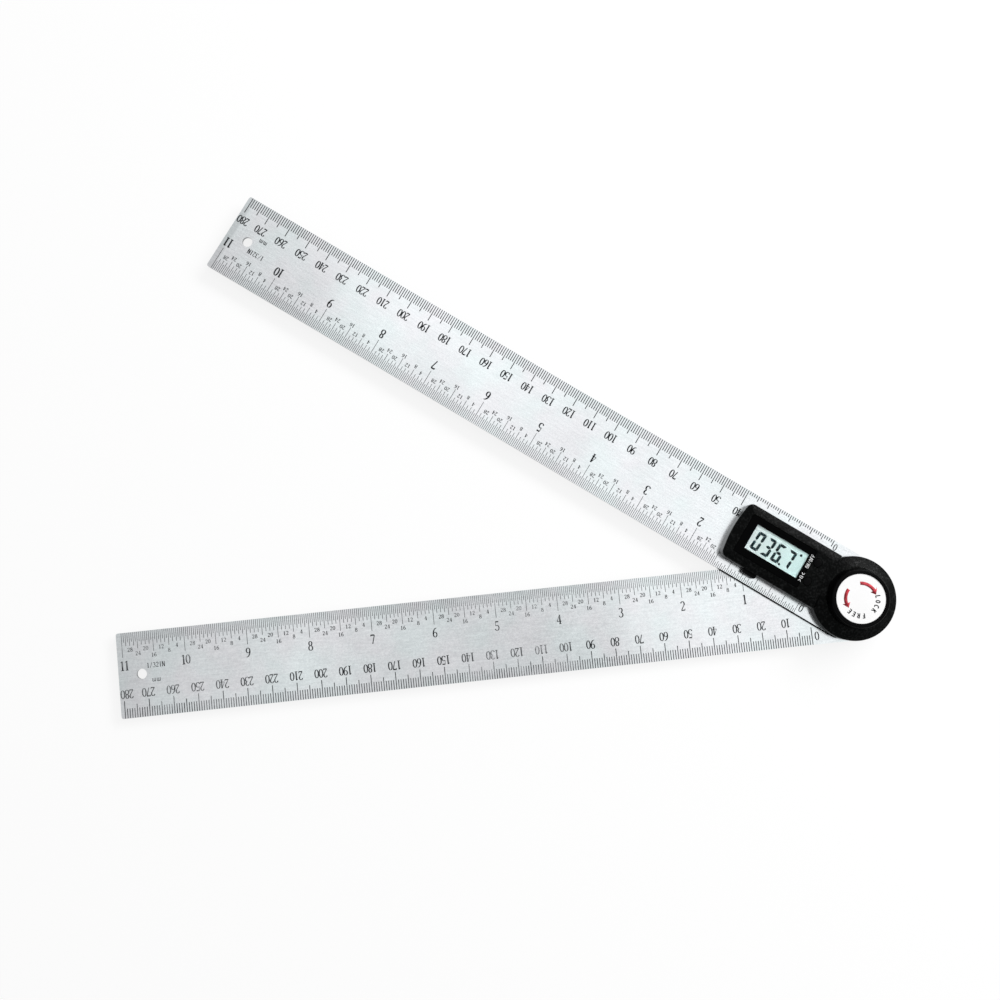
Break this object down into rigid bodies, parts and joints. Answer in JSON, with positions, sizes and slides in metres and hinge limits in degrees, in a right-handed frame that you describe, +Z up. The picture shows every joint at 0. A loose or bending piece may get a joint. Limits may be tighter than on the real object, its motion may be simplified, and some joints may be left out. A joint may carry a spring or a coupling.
{
  "type": "digital angle finder",
  "caption": "Angle finder with two steel rule arms turning on one pivot, a display housing on the upper arm, a lock knob, push buttons and a slide-out battery drawer.",
  "frame": {"origin": "on the pivot axis, at the underside of the back cap", "axes": "+Z up along the pivot axis through the lock knob; the lower arm points along -X; the upper arm is turned 36.94 degrees from it towards +Y"},
  "size_m": [0.3158, 0.2101, 0.0166],
  "materials": {
    "blade_steel": "satin stainless steel, fine grain along the arm",
    "plated_steel": "bright plated steel",
    "grained_black": "black moulded plastic with a fine grain",
    "smooth_black": "smooth black moulded plastic",
    "white_label": "white printed film",
    "nylon": "natural nylon",
    "clear_window": "clear acrylic with a black printed border",
    "display_panel": "pale mint liquid crystal panel",
    "green_board": "green solder mask",
    "rotor_copper": "tinned copper pattern",
    "black_epoxy": "black epoxy",
    "conductive_rubber": "grey striped silicone rubber",
    "brass": "turned brass",
    "spring_plate": "nickel plated"
  },
  "bodies": {
    "lower_arm": {"lower_blade": "blade_steel", "back_cap": "grained_black", "cap_screw_1": "plated_steel", "cap_screw_2": "plated_steel", "cap_screw_3": "plated_steel", "pivot_stud": "plated_steel", "thrust_washer": "nylon", "encoder_rotor": "rotor_copper"},
    "upper_arm": {"upper_blade": "blade_steel", "housing": "grained_black", "housing_screw_1": "plated_steel", "housing_screw_2": "plated_steel", "housing_screw_3": "plated_steel", "housing_screw_4": "plated_steel", "housing_screw_5": "plated_steel", "display_window": "clear_window", "lcd_glass": "display_panel", "rubber_connector_1": "conductive_rubber", "rubber_connector_2": "conductive_rubber", "control_chip": "black_epoxy", "circuit_board": "green_board", "power_switch_dome": "spring_plate", "zero_switch_dome": "spring_plate", "contact_leaf": "spring_plate", "contact_clip": "spring_plate"},
    "lock_knob": {"lock_knob": "smooth_black", "knob_insert": "brass", "knob_washer": "nylon", "knob_label": "white_label"},
    "power_button": {"power_button": "smooth_black"},
    "zero_button": {"zero_button": "smooth_black"},
    "battery_drawer": {"battery_drawer": "smooth_black", "coin_cell": "spring_plate"}
  },
  "joints": [
    {"name": "arm_hinge", "type": "hinge", "parent": "lower_arm", "child": "upper_arm", "pos_m": [0, 0, 0.0033], "axis": [0, 0, -1], "continuous": true},
    {"name": "lock_knob_turn", "type": "hinge", "parent": "lower_arm", "child": "lock_knob", "pos_m": [0, 0, 0.014], "axis": [0, 0, 1], "range_deg": [-30, 330]},
    {"name": "power_button_press", "type": "slide", "parent": "upper_arm", "child": "power_button", "axis": [0, 0, -1], "range_m": [0, 0.0003], "stiffness_N_per_m": 3000},
    {"name": "zero_button_press", "type": "slide", "parent": "upper_arm", "child": "zero_button", "axis": [0, 0, -1], "range_m": [0, 0.0003], "stiffness_N_per_m": 3000},
    {"name": "battery_drawer_slide", "type": "slide", "parent": "upper_arm", "child": "battery_drawer", "axis": [-0.601, -0.7993, 0], "range_m": [0, 0.02]}
  ]
}
